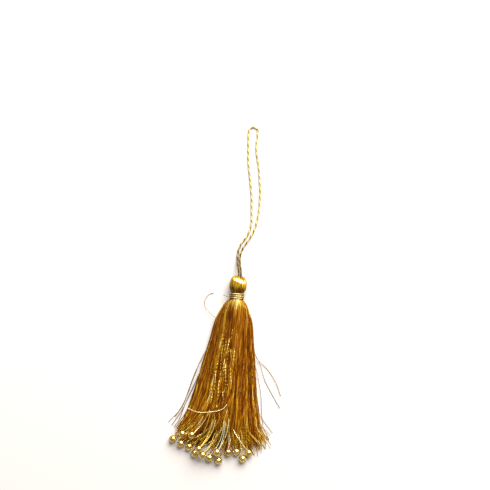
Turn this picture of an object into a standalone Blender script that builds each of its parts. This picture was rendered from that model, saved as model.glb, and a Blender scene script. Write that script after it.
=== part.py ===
"""Beaded silk tassel, lying on its side, with its twisted hanging loop laid out beyond the head.

Frame: metres, +Z up, and the tassel rests on z = 0. +Y runs along it, from the ends of the skirt
to the head, and X runs across it. The origin is under the middle of the tassel without its loop.
Every size below is in millimetres and is scaled by MM when a mesh is made.
"""

import math
import random
from bisect import bisect_right

import bpy
import numpy as np

MM = 0.001
TAU = 2 * math.pi
COLLECTION = "silk_tassel"
GAP = 0.3                 # clearance between two pieces

# Head, neck and skirt
AXIS_Z = 3.35             # height of the head's own axis, a little under its radius: a flat spot
SKIRT_TOP_Y = 29.3        # where the skirt begins; its distances are measured down from here
COLUMNS = 36              # columns of points round the core, two for each yarn rib
HEAD_ROWS = [
    # along the tassel, radius, rib height
    (38.5, 1.5, 0.00),
    (38.3, 2.1, 0.04),
    (37.6, 2.9, 0.07),
    (36.6, 3.3, 0.08),
    (35.6, 3.5, 0.08),
    (34.4, 3.5, 0.08),
    (33.2, 3.25, 0.08),
    (32.5, 2.75, 0.05),
    (32.1, 2.15, 0.02),
    (29.25, 2.15, 0.02),
]
SKIRT_ROWS = [
    # distance below the skirt's top, half width, underside, thickness
    (0.3, 2.7, 0.80, 5.2),
    (0.9, 3.6, 0.66, 5.5),
    (2.0, 4.5, 0.50, 5.9),
    (3.6, 5.3, 0.28, 6.3),
    (5.6, 6.3, 0.10, 6.5),
    (8.6, 7.5, 0.00, 6.6),
    (16.6, 9.0, 0.00, 6.3),
    (23.6, 10.3, 0.00, 6.1),
    (30.6, 11.5, 0.00, 5.8),
    (39.6, 13.2, 0.00, 5.3),
    (47.0, 14.9, 0.00, 4.9),
    (52.0, 16.2, 0.00, 4.6),
    (58.0, 18.2, 0.00, 4.3),
]
FLATTEN_BY = 12.0         # the round neck has become a flat-bottomed dome this far down
BELL_ROWS = (0.3, 0.9, 2.0, 3.2, 4.6, 6.0, 7.6, 9.2, 10.8, 12.2)
BELL_FULL_TO = 4.6        # the fused bell of yarn fills the skirt to here, then rounds off
BELL_END = 12.8
BELL_SKIN = 0.12          # how far the bell stands outside the locks rooted in it
BELL_RIB = 0.14

# Silk locks, three-sided with a flat side down, in level layers from the floor up
LAYER_SITES = (31, 30, 29, 26, 20, 13)
LOCK_WIDTH = 0.50         # share of the space between two sites
LOCK_HEIGHT = 0.66        # share of a layer's thickness
LOCK_JITTER = 0.07        # share of the space between two sites
LOCK_STATIONS = (8.0, 14.0, 22.0, 32.0, 43.0)   # between a lock's root and its end
SILK_END_LEFT, SILK_END_RIGHT, SILK_END_SPREAD = 55.0, 56.4, 1.6
SILK_END_BOW = 2.6        # how much further the silk reaches in the middle
BUNCHES, BUNCHING = 3.5, 0.30
ROOT_DEPTH = 2.2

# Beaded threads, which leave the layers near the silk's ends and fan out to their beads
THREAD_SIZE = 0.32
THREAD_LEAVES = 38.0
THREAD_CLEAR = 0.2        # height of a fanned thread above the locks that it crosses
BEAD_RADIUS, BEAD_HOLE, BEAD_STEPS = 1.55, 0.6, 10
BEAD_BELT = 0.6           # width of the level facet that a bead rests on
BEAD_REST_Z = BEAD_RADIUS * math.cos(math.pi / BEAD_STEPS)
BEADS = [
    # across, along, height (None on the floor), lean of its thread in degrees, across where that leaves
    (-19.3, -30.2, None, 17, -8.5),
    (-15.8, -27.7, None, 34, -7.6),
    (-15.9, -31.7, None, 35, -6.7),
    (-11.9, -27.6, 3.5, 34, -5.6),
    (-12.4, -32.6, None, 42, -4.6),
    (-9.8, -35.0, None, 36, -3.4),
    (-8.4, -32.8, 4.35, 32, -2.6),
    (-6.6, -35.2, 2.75, 32, -1.4),
    (-3.6, -36.2, None, 12, -0.2),
    (-0.9, -33.5, 2.75, 24, 1.0),
    (0.1, -36.95, None, 16, 2.0),
    (3.6, -33.1, None, 2, 3.2),
    (7.0, -32.5, None, -12, 4.4),
    (9.8, -35.0, None, -10, 5.4),
    (12.0, -32.4, None, -20, 7.8),
]

# Stray locks that leave the skirt's sides and lie on the floor
STRAY_SIZE = 0.34
STRAYS = [
    # side, layer, distance down where it leaves, tip across, tip along
    (1, 1, 13.0, 22.5, -7.5),
    (1, 0, 27.0, 20.6, -21.0),
    (1, 2, 41.0, 20.4, -27.5),
    (-1, 1, 19.0, -22.5, -10.0),
    (-1, 0, 32.0, -21.2, -22.5),
    (-1, 2, 42.0, -20.6, -26.0),
]

# Binding, wound round the neck
BINDING_TOP_Y, BINDING_BOTTOM_Y = 31.85, 29.47
BINDING_INNER, BINDING_VALLEY = 2.52, 2.8
BINDING_WRAPS = (3.0, 3.06, 3.02, 3.08, 2.98)   # outer radius of each turn of the thread
BINDING_STEPS = 24

# Hanging loop, a two-ply cord
CORD_DIAMETER = 0.8
CORD_THIN = 0.5           # across the two plies, where they lie side by side
CORD_TURN = 2.8           # length of one full turn of the twist
CORD_STEPS = 6            # rings of points in one turn
CORD_ROUTE = [
    (-0.15, 38.87, 3.40), (-0.40, 40.8, 3.15), (-0.95, 43.0, 2.10), (-1.45, 45.6, 0.95),
    (-1.55, 48.6, 0.45), (-0.75, 51.6, 0.42), (0.80, 54.3, 0.42), (2.10, 57.3, 0.42),
    (2.55, 61.2, 0.42), (2.05, 66.0, 0.42), (1.60, 70.5, 0.42), (0.55, 76.0, 0.42),
    (-0.60, 81.2, 0.42), (-1.65, 86.5, 0.42), (-2.20, 91.5, 0.42), (-2.62, 96.0, 0.42),
    (-2.72, 98.0, 0.42), (-2.17, 99.32, 0.42), (-0.85, 99.87, 0.42), (0.47, 99.32, 0.42),
    (1.02, 98.0, 0.42), (1.02, 96.0, 0.42),
    (0.95, 92.5, 0.42), (1.75, 88.3, 0.42), (3.00, 83.7, 0.42), (3.85, 79.1, 0.42),
    (4.65, 74.0, 0.42), (5.00, 69.0, 0.42), (4.95, 64.0, 0.42), (4.45, 60.0, 0.42),
    (3.50, 56.6, 0.42), (2.10, 53.6, 0.42), (0.60, 50.9, 0.42), (-0.35, 48.2, 0.45),
    (-0.50, 45.6, 0.95), (-0.03, 43.0, 2.10), (0.52, 40.8, 3.15), (0.75, 38.87, 3.40),
]

SEED = 7


def read_rows(rows, at):
    """Every column of a table, read smoothly at a place given in its first column."""
    knots = [row[0] for row in rows]
    i = min(max(bisect_right(knots, at) - 1, 0), len(knots) - 2)
    step = knots[i + 1] - knots[i]
    t = (at - knots[i]) / step
    values = []
    for column in zip(*rows):
        slopes = np.gradient(column, knots)
        values.append((2 * t**3 - 3 * t**2 + 1) * column[i] + (t**3 - 2 * t**2 + t) * step * slopes[i]
                      + (3 * t**2 - 2 * t**3) * column[i + 1] + (t**3 - t**2) * step * slopes[i + 1])
    return values[1:]


def ease(t):
    """0 to 1 with a soft start and end."""
    t = min(max(t, 0.0), 1.0)
    return t * t * (3 - 2 * t)


def hermite(start, start_slope, end, end_slope, t):
    """Point on the curve from start to end that leaves and arrives along the two slopes."""
    start, start_slope, end, end_slope = map(np.array, (start, start_slope, end, end_slope))
    return ((2 * t**3 - 3 * t**2 + 1) * start + (t**3 - 2 * t**2 + t) * start_slope
            + (3 * t**2 - 2 * t**3) * end + (t**3 - t**2) * end_slope)


def skirt_at(down):
    """Half width, underside and thickness of the skirt at a distance below its top."""
    half_width, under, thick = read_rows(SKIRT_ROWS, down)
    return half_width, max(under, 0.0), thick


def layer_share(layer, down):
    """Half width of a layer as a share of the skirt's: a disc's at the neck, a dome's lower down."""
    level = (layer + 0.5) / len(LAYER_SITES)
    flat = ease(down / FLATTEN_BY)
    return (1 - flat) * math.sqrt(1 - (2 * level - 1) ** 2) + flat * math.sqrt(1 - level ** 2)


def dome_height(across, down):
    """Height of the skirt's upper side over a point of the floor."""
    half_width, under, thick = skirt_at(down)
    return under + thick * math.sqrt(max(0.0, 1 - (across / half_width) ** 2))


def link_mesh(name, collection, points, faces):
    mesh = bpy.data.meshes.new(name)
    mesh.from_pydata([tuple(c * MM for c in point) for point in points], [], faces)
    mesh.update()
    obj = bpy.data.objects.new(name, mesh)
    collection.objects.link(obj)
    return obj


def loft(rings, first=0):
    """Faces of one closed body through rings of points, numbered from first."""
    n = len(rings[0])
    faces = [tuple(first + i for i in reversed(range(n)))]
    for row in range(len(rings) - 1):
        low, high = first + row * n, first + (row + 1) * n
        faces += [(low + i, low + (i + 1) % n, high + (i + 1) % n, high + i) for i in range(n)]
    faces.append(tuple(first + (len(rings) - 1) * n + i for i in range(n)))
    return faces


def link_lofts(name, collection, bodies):
    """One mesh of several lofted bodies."""
    points, faces = [], []
    for rings in bodies:
        faces += loft(rings, len(points))
        points += [point for ring in rings for point in ring]
    return link_mesh(name, collection, points, faces)


def core_ring(y, half_width, under, thick, flat, rib, shrink=1.0):
    """A ribbed section of the core, from a disc (flat 0) to a dome with a flat bottom (flat 1)."""
    middle = under + 0.45 * thick
    ring = []
    for i in range(COLUMNS):
        angle = -TAU * i / COLUMNS
        side, rise = math.cos(angle), math.sin(angle)
        out = rib if i % 2 else -rib
        x = half_width * side + out * side
        z = under + thick * ((1 - flat) * (1 + rise) / 2 + flat * max(0.0, rise)) + out * rise
        ring.append((x * shrink, y, max(0.0, middle + (z - middle) * shrink)))
    return ring


def core_rings():
    rings = [core_ring(y, radius, AXIS_Z - radius, 2 * radius, 0.0, rib) for y, radius, rib in HEAD_ROWS]
    for down in BELL_ROWS:
        half_width, under, thick = skirt_at(down)
        closing = max(0.0, down - BELL_FULL_TO) / (BELL_END - BELL_FULL_TO)
        rings.append(core_ring(SKIRT_TOP_Y - down, half_width + BELL_SKIN, max(under - BELL_SKIN, 0.2),
                               thick + 2 * BELL_SKIN, ease(down / FLATTEN_BY), BELL_RIB,
                               math.sqrt(1 - closing ** 2)))
    return rings


class Site:
    """One place in the skirt's layers, followed down from the neck."""

    def __init__(self, layer, index, rng):
        self.layer = layer
        self.count = LAYER_SITES[layer]
        self.share = (2 * index + 1 + 2 * LOCK_JITTER * rng.uniform(-1, 1)) / self.count - 1
        self.phase = 1.3 * layer

    def across(self, down):
        swing = BUNCHING * ease((down - 8) / 35)
        shift = swing * math.sin(TAU * BUNCHES * self.share / 2 + self.phase) / (TAU * BUNCHES / 2)
        return skirt_at(down)[0] * layer_share(self.layer, down) * (self.share + shift)

    def base(self, down):
        _, under, thick = skirt_at(down)
        return under + thick * self.layer / len(LAYER_SITES)

    def width(self, down):
        pitch = 2 * skirt_at(down)[0] * layer_share(self.layer, down) / self.count
        return LOCK_WIDTH * pitch

    def height(self, down):
        return LOCK_HEIGHT * skirt_at(down)[2] / len(LAYER_SITES)

    def root(self):
        """Distance down at which this place is well inside the bell."""
        level = (self.layer + 0.5) / len(LAYER_SITES)
        reach = math.hypot(self.share * layer_share(self.layer, 5.0), 2 * level - 1)
        leaves = BELL_FULL_TO + (BELL_END - BELL_FULL_TO) * math.sqrt(max(0.0, 1 - reach ** 2))
        return leaves - ROOT_DEPTH

    def section(self, down, size=1.0):
        """Three-sided section with its flat side down."""
        return wedge((self.across(down), SKIRT_TOP_Y - down, self.base(down)),
                     size * self.width(down), size * self.height(down))


def wedge(point, width, height):
    x, y, z = point
    return [(x - width / 2, y, z), (x, y, z + height), (x + width / 2, y, z)]


def thread_route(site, bead, steps=8):
    """Points under a beaded thread once it has left its layer, ending inside its bead."""
    x, y, z, lean, _ = bead
    z = (BEAD_REST_Z if z is None else z) - THREAD_SIZE / 3
    leave = (site.across(THREAD_LEAVES), SKIRT_TOP_Y - THREAD_LEAVES)
    run = leave[1] - y
    drift = (site.across(THREAD_LEAVES + 1) - leave[0]) * run
    turn = math.tan(math.radians(lean)) * run
    route = []
    for step in range(steps + 1):
        t = step / steps
        across, along = hermite(leave, (drift, -run), (x, y), (-turn, -run), t)
        down = SKIRT_TOP_Y - along
        over = dome_height(across, down) + THREAD_CLEAR
        lifted = site.base(down) + (over - site.base(down)) * ease(3 * t)
        route.append((across, along, lifted + (z - lifted) * ease((t - 0.35) / 0.6)))
    return route


def upper_rings(site, to, size):
    """A lock's sections from its root to a place above a distance down."""
    root = site.root()
    stations = [root] + [down for down in LOCK_STATIONS if root + 1 < down < to - 2]
    return [site.section(down, size) for down in stations]


def thread_rings(site, bead):
    rings = upper_rings(site, THREAD_LEAVES, 0.8)
    return rings + [wedge(point, THREAD_SIZE, THREAD_SIZE) for point in thread_route(site, bead)]


def stray_rings(site, stray, steps=6):
    _, _, leaves, tip_x, tip_y = stray
    start = (site.across(leaves), SKIRT_TOP_Y - leaves)
    run = start[1] - tip_y
    drift = (site.across(leaves + 1) - start[0]) * run
    rings = upper_rings(site, leaves, 0.8)
    for step in range(steps + 1):
        t = step / steps
        x, y = hermite(start, (drift, -run), (tip_x, tip_y), (1.5 * (tip_x - start[0]), -0.8 * run), t)
        outside = abs(x) - skirt_at(SKIRT_TOP_Y - y)[0]
        z = site.base(leaves) * (1 - ease((outside - 0.3) / 2))
        rings.append(wedge((x, y, z), STRAY_SIZE, STRAY_SIZE))
    return rings


def silk_rings(site, end):
    return upper_rings(site, end, 1.0) + [site.section(end, 0.7)]


def silk_end(site, threads, rng):
    """Where a silk lock is cut, short of any bead or beaded thread that lies in its way."""
    side = (site.share + 1) / 2
    end = (SILK_END_LEFT + (SILK_END_RIGHT - SILK_END_LEFT) * side + SILK_END_BOW * math.sin(math.pi * side)
           + SILK_END_SPREAD * rng.uniform(-1, 1))
    beads = np.array([(x, y, BEAD_REST_Z if z is None else z) for x, y, z, *_ in BEADS])
    for down in np.arange(THREAD_LEAVES - 8, end, 0.4):
        half_height = site.height(down) / 2
        point = np.array((site.across(down), SKIRT_TOP_Y - down, site.base(down) + half_height))
        near_thread = np.linalg.norm(threads - point, axis=1).min()
        near_bead = np.linalg.norm(beads - point, axis=1).min()
        if near_thread < 0.62 or near_bead < BEAD_RADIUS + GAP + 0.45:
            return down - 0.8
    return end


def nearest_site(sites, layers, across, taken):
    free = [key for key in sites if key[0] in layers and key not in taken]
    return min(free, key=lambda key: abs(sites[key].across(THREAD_LEAVES) - across))


def bead_site(sites, bead, taken):
    """The uppermost free place nearest to where a bead's thread comes out of the skirt."""
    across = bead[-1]
    half_width = skirt_at(THREAD_LEAVES)[0]
    layer = max(k for k in range(len(LAYER_SITES))
                if k == 0 or layer_share(k, THREAD_LEAVES) * half_width > abs(across))
    return nearest_site(sites, (layer,), across, taken)


def densify(route, spacing=0.25):
    points = [np.array(route[0])]
    for low, high in zip(route, route[1:]):
        low, high = np.array(low), np.array(high)
        pieces = max(1, int(np.linalg.norm(high - low) / spacing))
        points += [low + (high - low) * (i + 1) / pieces for i in range(pieces)]
    return points


def lock_bodies():
    """Rings of every silk lock, beaded thread and stray lock."""
    rng = random.Random(SEED)
    sites = {(k, j): Site(k, j, rng) for k, count in enumerate(LAYER_SITES) for j in range(count)}
    taken, bodies, in_the_way = set(), [], []
    for side, layer, leaves, tip_x, tip_y in STRAYS:
        key = (layer, LAYER_SITES[layer] - 1 if side > 0 else 0)
        taken.add(key)
        bodies.append(stray_rings(sites[key], (side, layer, leaves, tip_x, tip_y)))
    for bead in BEADS:
        key = bead_site(sites, bead, taken)
        taken.add(key)
        bodies.append(thread_rings(sites[key], bead))
        in_the_way += densify([(x, y, z + THREAD_SIZE / 2) for x, y, z in thread_route(sites[key], bead)])
    threads = np.array(in_the_way)
    for key, site in sites.items():
        if key not in taken:
            bodies.append(silk_rings(site, silk_end(site, threads, rng)))
    return bodies


def make_material(name, colour, roughness, metallic):
    material = bpy.data.materials.new(name)
    material.use_nodes = True
    shader = material.node_tree.nodes["Principled BSDF"]
    shader.inputs["Base Color"].default_value = (*colour, 1.0)
    shader.inputs["Roughness"].default_value = roughness
    shader.inputs["Metallic"].default_value = metallic
    return material


def make_head_and_skirt(parts, guides, silk):
    """The yarn bundle: ribbed head, neck and bell, with the locks of the skirt fused into the bell."""
    core = link_lofts("head_and_skirt", parts, [core_rings()])
    locks = link_lofts("skirt_locks", guides, lock_bodies())
    for obj in (core, locks):
        obj.data.materials.append(silk)
        obj.modifiers.new("Flat faces", "TRIANGULATE")
    locks.hide_render = True
    locks.display_type = "WIRE"
    union = core.modifiers.new("Fuse locks", "BOOLEAN")
    union.operation = "UNION"
    union.solver = "EXACT"
    union.object = locks


def add_turned(name, parts, profile, steps, material, tilt=0.0):
    """Closed profile of (radius, along) points turned about the object's own Y axis."""
    points = [(radius * math.cos(tilt), along, radius * math.sin(tilt)) for radius, along in profile]
    n = len(points)
    mesh = bpy.data.meshes.new(name)
    mesh.from_pydata([tuple(c * MM for c in point) for point in points],
                     [(i, (i + 1) % n) for i in range(n)], [])
    obj = bpy.data.objects.new(name, mesh)
    parts.objects.link(obj)
    screw = obj.modifiers.new("Turn", "SCREW")
    screw.axis = "Y"
    screw.steps = screw.render_steps = steps
    mesh.materials.append(material)
    return obj


def make_binding(parts, thread):
    wraps = len(BINDING_WRAPS)
    pitch = (BINDING_TOP_Y - BINDING_BOTTOM_Y) / wraps
    profile = [(BINDING_INNER, BINDING_TOP_Y), (BINDING_VALLEY, BINDING_TOP_Y)]
    for i, crest in enumerate(BINDING_WRAPS):
        profile.append((crest, BINDING_TOP_Y - (i + 0.5) * pitch))
        profile.append((BINDING_VALLEY, BINDING_TOP_Y - (i + 1) * pitch))
    profile.append((BINDING_INNER, BINDING_BOTTOM_Y))
    ring = add_turned("neck_binding", parts, profile, BINDING_STEPS, thread)
    ring.location.z = AXIS_Z * MM


def make_beads(parts, metal):
    half_hole = math.sqrt(BEAD_RADIUS ** 2 - BEAD_HOLE ** 2)
    upper = [(BEAD_HOLE, half_hole), (BEAD_RADIUS * math.cos(0.72), BEAD_RADIUS * math.sin(0.72)),
             (BEAD_RADIUS, BEAD_BELT / 2)]
    profile = upper + [(radius, -along) for radius, along in reversed(upper)]
    facet_down = math.pi / BEAD_STEPS - math.pi / 2
    for number, (x, y, z, lean, _) in enumerate(BEADS, 1):
        bead = add_turned(f"bead_{number:02d}", parts, profile, BEAD_STEPS, metal, facet_down)
        bead.location = (x * MM, y * MM, (BEAD_REST_Z if z is None else z) * MM)
        bead.rotation_euler.z = -math.radians(lean)


def smooth_route(points, spacing):
    """Evenly spaced points on a smooth curve through the given ones."""
    points = np.array(points, float)
    ends = [2 * points[0] - points[1]], [2 * points[-1] - points[-2]]
    padded = np.concatenate((ends[0], points, ends[1]))
    dense = [hermite(padded[i], (padded[i + 1] - padded[i - 1]) / 2, padded[i + 1],
                     (padded[i + 2] - padded[i]) / 2, t)
             for i in range(1, len(points)) for t in np.linspace(0, 1, 24, endpoint=False)]
    dense = np.array(dense + [points[-1]])
    run = np.concatenate(([0], np.cumsum(np.linalg.norm(np.diff(dense, axis=0), axis=1))))
    places = np.linspace(0, run[-1], int(round(run[-1] / spacing)) + 1)
    return np.stack([np.interp(places, run, dense[:, axis]) for axis in range(3)], axis=1)


def make_hanging_loop(parts, yarn):
    """The loop's cord: an oblong section that turns as it goes, as two twisted plies do."""
    route = smooth_route(CORD_ROUTE, CORD_TURN / CORD_STEPS)
    tangents = np.gradient(route, axis=0)
    rings = []
    for i, (point, tangent) in enumerate(zip(route, tangents)):
        side = np.cross(tangent, (0, 0, 1))
        side /= np.linalg.norm(side)
        rise = np.cross(side, tangent)
        rise /= np.linalg.norm(rise)
        turn = TAU * i / CORD_STEPS
        corners = [(CORD_DIAMETER / 2, 0.5), (CORD_DIAMETER / 2, -0.5),
                   (-CORD_DIAMETER / 2, -0.5), (-CORD_DIAMETER / 2, 0.5)]
        ring = []
        for long, short in corners:
            long, short = 0.88 * long, short * CORD_THIN * 0.75
            a = long * math.cos(turn) - short * math.sin(turn)
            b = long * math.sin(turn) + short * math.cos(turn)
            ring.append(tuple(point + a * side + b * rise))
        rings.append(ring)
    loop = link_lofts("hanging_loop", parts, [rings])
    loop.data.materials.append(yarn)


def clear_scene():
    for obj in list(bpy.data.objects):
        bpy.data.objects.remove(obj, do_unlink=True)


def main():
    clear_scene()
    parts = bpy.data.collections.new(COLLECTION)
    guides = bpy.data.collections.new("guides")
    for collection in (parts, guides):
        bpy.context.scene.collection.children.link(collection)
    silk = make_material("amber_silk", (0.52, 0.24, 0.03), 0.38, 0.0)
    binding_thread = make_material("pale_metallic_thread", (0.78, 0.62, 0.28), 0.30, 0.6)
    cord_yarn = make_material("gold_cord", (0.68, 0.52, 0.18), 0.35, 0.3)
    bead_metal = make_material("gold_metal", (0.83, 0.60, 0.20), 0.15, 1.0)
    make_head_and_skirt(parts, guides, silk)
    make_binding(parts, binding_thread)
    make_hanging_loop(parts, cord_yarn)
    make_beads(parts, bead_metal)


main()
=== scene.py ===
"""Looks of the beaded silk tassel: fine silk threads, wound binding, twisted loop and gold beads.

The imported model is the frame. Everything is in its own frame: +Y along the tassel from the skirt's
ends to the head, +X across it, z = 0 under it. Sizes below are in millimetres, scaled by MM.
"""

import math

import bpy
import numpy as np
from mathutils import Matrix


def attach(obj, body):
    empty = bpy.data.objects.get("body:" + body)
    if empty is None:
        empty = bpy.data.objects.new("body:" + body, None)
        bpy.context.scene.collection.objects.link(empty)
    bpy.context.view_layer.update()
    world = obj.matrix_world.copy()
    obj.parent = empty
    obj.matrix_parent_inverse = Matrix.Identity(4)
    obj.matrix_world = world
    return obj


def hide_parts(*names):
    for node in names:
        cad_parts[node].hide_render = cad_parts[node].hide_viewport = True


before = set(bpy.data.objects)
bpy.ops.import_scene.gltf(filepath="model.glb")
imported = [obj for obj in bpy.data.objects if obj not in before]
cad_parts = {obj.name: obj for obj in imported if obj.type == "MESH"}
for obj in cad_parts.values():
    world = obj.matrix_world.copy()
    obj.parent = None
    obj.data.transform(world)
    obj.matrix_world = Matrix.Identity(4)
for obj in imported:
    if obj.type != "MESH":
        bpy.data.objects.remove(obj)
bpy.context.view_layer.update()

MM = 0.001
TAU = 2 * math.pi
UP, ALONG = (0, 0, 1), (0, 1, 0)

# Photograph: its scale and where it looks
PHOTO_PX = 490
PX_PER_MM = 2.45
PHOTO_CENTRE = (0.94, 51.65)
PHOTO_TILT = math.radians(6.5)     # the tassel leans this much in the photograph
LENS, SENSOR = 150.0, 36.0

# Head, neck and skirt, as in the solids
AXIS_Z = 3.35
SKIRT_TOP_Y = 29.3
HEAD_ROWS = [
    # along the tassel, radius to the outside of the yarns
    (38.2, 1.05),
    (38.75, 1.35),
    (38.85, 1.8),
    (38.5, 2.35),
    (37.8, 2.9),
    (36.8, 3.3),
    (35.6, 3.5),
    (34.4, 3.5),
    (33.2, 3.2),
    (32.5, 2.75),
    (32.0, 2.45),
    (31.2, 2.35),
    (29.9, 2.35),
]
SKIRT_ROWS = [
    # distance below the skirt's top, half width, underside, thickness
    (-1.2, 2.35, 1.00, 4.7),
    (-0.3, 2.40, 0.95, 4.8),
    (0.3, 2.85, 0.75, 5.3),
    (0.9, 3.6, 0.62, 5.6),
    (2.0, 4.5, 0.46, 6.0),
    (3.6, 5.3, 0.26, 6.4),
    (5.6, 6.3, 0.10, 6.6),
    (8.6, 7.5, 0.00, 6.7),
    (16.6, 9.0, 0.00, 6.4),
    (23.6, 10.3, 0.00, 6.1),
    (30.6, 11.5, 0.00, 5.8),
    (39.6, 13.2, 0.00, 5.3),
    (47.0, 14.9, 0.00, 4.9),
    (52.0, 16.2, 0.00, 4.6),
    (58.0, 18.2, 0.00, 4.3),
    (66.0, 20.5, 0.00, 4.0),
]
FLATTEN_BY = 12.0          # round at the neck, and flat on its under side from here down
SINK, SINK_FROM, SINK_OVER = 0.45, 48.0, 11.0      # share of its height lost towards the cut ends

# Silk threads, in shells one inside the other
SHELLS = [
    # piece, share of the way out from the middle, whether on the under side, locks, threads
    ("silk_skirt_outer", 1.00, False, 44, 300),
    ("silk_skirt_outer", 0.95, False, 37, 270),
    ("silk_skirt_inner", 0.88, False, 33, 230),
    ("silk_skirt_inner", 0.80, False, 29, 180),
    ("silk_skirt_under", 1.00, True, 31, 170),
    ("silk_skirt_under", 0.92, True, 27, 110),
]
SILK_RADIUS, SILK_SIDES, SILK_STATIONS = 0.13, 3, 36
SILK_ROOT, SILK_ROOT_PART = 0.75, 0.4      # thinner at the root, full after this part of the length
SILK_BEGINS = -0.9         # inside the binding
SILK_END_LEFT, SILK_END_RIGHT, SILK_END_SPREAD = 55.0, 56.6, 2.2
SILK_LONGER = 4.0          # how much further the silk reaches in the middle than at its edges
SILK_SHORTER = 26.0        # inner threads are cut up to this much shorter, times what their share lacks
SILK_TIP = 8.0             # the cut ends spread over this length
LOCK_STATIONS = np.linspace(0, 58.0, SILK_STATIONS)        # places along a lock for its waves
SHOULDER_FOLDS, FOLDS_UNTIL, FOLDS_FADE = 24, 5.0, 16.0     # how many, and how they end further down
SHADE_LEFT, SHADE_RIGHT, SHADE_DOWN = -12.0, 1.0, 52.5      # where the ends lie under the beaded threads

# The skirt's lower left is drawn aside with its beads: (place across, share of the bend)
SWEEP_FROM, SWEEP_BEND, SWEEP_LIFT = 36.0, 0.017, 0.4
SWEEP_SHARE = [(-1.0, 0.05), (-0.6, 0.6), (-0.3, 1.0), (0.0, 0.9), (0.3, 0.35), (0.55, 0.0), (1.0, 0.0)]

# Waves in the silk, the longest of them and their size: sideways as a share of a lock's width or in
# millimetres, then up and down
LOCK_SWAY_WAVE, LOCK_SWAY = 30.0, 0.30
THREAD_SWAY_WAVE, THREAD_SWAY = 24.0, 0.16
SHAKE_WAVE, SHAKE = 9.0, 0.06
LOCK_RISE_WAVE, LOCK_RISE = 34.0, 0.18
THREAD_RISE_WAVE, THREAD_RISE = 10.0, 0.07

# Tones of the silk: their mean, how far locks and threads differ, the odd bright thread, the painted shade
# of the inner shells, how strong the painted highlight on each thread below the binding is and how far down,
# and slow changes along it
SILK_TONE, LOCK_TONES, THREAD_TONES = 0.46, 0.12, 0.13
BRIGHT_SILK, BRIGHT_SILK_PART, INNER_SHELL_SHADE = 0.24, 0.07, 0.8
SHOULDER_HIGHLIGHT_RANGE, SHOULDER_HIGHLIGHT_UNTIL = (0.35, 0.88), (2.2, 8.0)
TONE_WAVE, TONE_CHANGE = 30.0, 0.04
SHADE_DARK = 0.46

# Packed yarn inside the head, and inside the skirt down to where it tapers out
CORE_SIDES, CORE_RINGS = 48, 22
CORE_INSET, CORE_DROP = 0.3, 0.2
CORE_SHARE, CORE_BEGINS, CORE_END, CORE_TAPER = 0.66, 0.3, 47.0, 14.0

# Head yarns: layers of (distance inside the outline, number of yarns), and the painted highlight band across
# them
HEAD_LAYERS = [(0.12, 150), (0.22, 110)]
HEAD_YARN, HEAD_STATIONS = 0.115, 34       # radius of a yarn, and its stations
HEAD_REST_Z = 0.12         # no yarn lies lower
HIGHLIGHT_BAND_Y, HIGHLIGHT_BAND_SLOPE, HIGHLIGHT_BAND_HALF = 37.0, 0.27, 0.58
NECK_SHADE_Y = 35.2
HEAD_TONE, HEAD_TONES, HEAD_MOTTLE = 0.47, 0.09, 0.12
# strength of the painted highlight band, and of the painted shade on the crown and towards the neck
HIGHLIGHT_BAND_BRIGHT, CROWN_SHADE, NECK_SHADE = 0.80, 0.12, 0.28

# Beaded threads
THREAD_LEAVES = 38.0       # from here down each thread bends towards its bead
THREAD_BEGINS, BETWEEN_BEGINS = 5.0, 34.0
THREAD_PAIR = 0.42         # each bead hangs on two threads, so far to either side
THREAD_STEP, THREAD_DASH = 0.25, 1.5       # spacing of the stations, and of the painted glints in the tone
THREAD_PLY, THREAD_APART, THREAD_PITCH = 0.12, 0.10, 2.1    # a ply's radius, its offset and its turn
THREAD_DEPTH = 0.8         # how deep in the silk a thread lies where it doesn't show
THREAD_LIFT, BENT_LIFT = 1.1, 1.2          # how far it rises from there to lie on the silk
FREE_Y = -12.0             # above it the tone has painted glints in dashes, below it the threads grow paler
THREAD_TONE, THREAD_TONE_RANGE, PAINTED_GLINT_TONE, THREAD_HIGHLIGHT = 0.42, 0.30, 0.26, 0.36
GLINT_THREADS = (3, 4, 5, 6, 7, 8, 9)      # those that also show on the silk further up
HIGHLIT_THREADS = (3, 6, 9, 11)             # those with a painted highlight near their beads

# Further threads, each between the beaded one with this number, from 0, and the next
BETWEEN_THREADS = (0, 0, 1, 1, 2, 2, 3, 3, 4, 4, 4, 5, 5, 6, 6, 7, 7, 8, 8, 9, 10)
HIGHLIT_BETWEEN = 0.18      # the part of them with a painted highlight near the beads

# Beads, where they lie and how their threads lean, as in the solids
BEAD_RADIUS, BEAD_HOLE, BEAD_EDGE = 1.55, 0.6, 0.08
BEAD_STEPS, BEAD_ARC = 40, 19              # stations round a bead, and along its round outside
ON_FLOOR = BEAD_RADIUS * math.cos(math.pi / 10)     # a bead's middle when it lies on its flat spot
BEADS = [
    # across, along, height, lean of its thread in degrees, across where that leaves
    (-19.3, -30.2, ON_FLOOR, 17, -8.5),
    (-15.8, -27.7, ON_FLOOR, 34, -7.6),
    (-15.9, -31.7, ON_FLOOR, 35, -6.7),
    (-11.9, -27.6, 3.5, 34, -5.6),
    (-12.4, -32.6, ON_FLOOR, 42, -4.6),
    (-9.8, -35.0, ON_FLOOR, 36, -3.4),
    (-8.4, -32.8, 4.35, 32, -2.6),
    (-6.6, -35.2, 2.75, 32, -1.4),
    (-3.6, -36.2, ON_FLOOR, 12, -0.2),
    (-0.9, -33.5, 2.75, 24, 1.0),
    (0.1, -36.95, ON_FLOOR, 16, 2.0),
    (3.6, -33.1, ON_FLOOR, 2, 3.2),
    (7.0, -32.5, ON_FLOOR, -12, 4.4),
    (9.8, -35.0, ON_FLOOR, -10, 5.4),
    (12.0, -32.4, ON_FLOOR, -20, 7.8),
]

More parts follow.
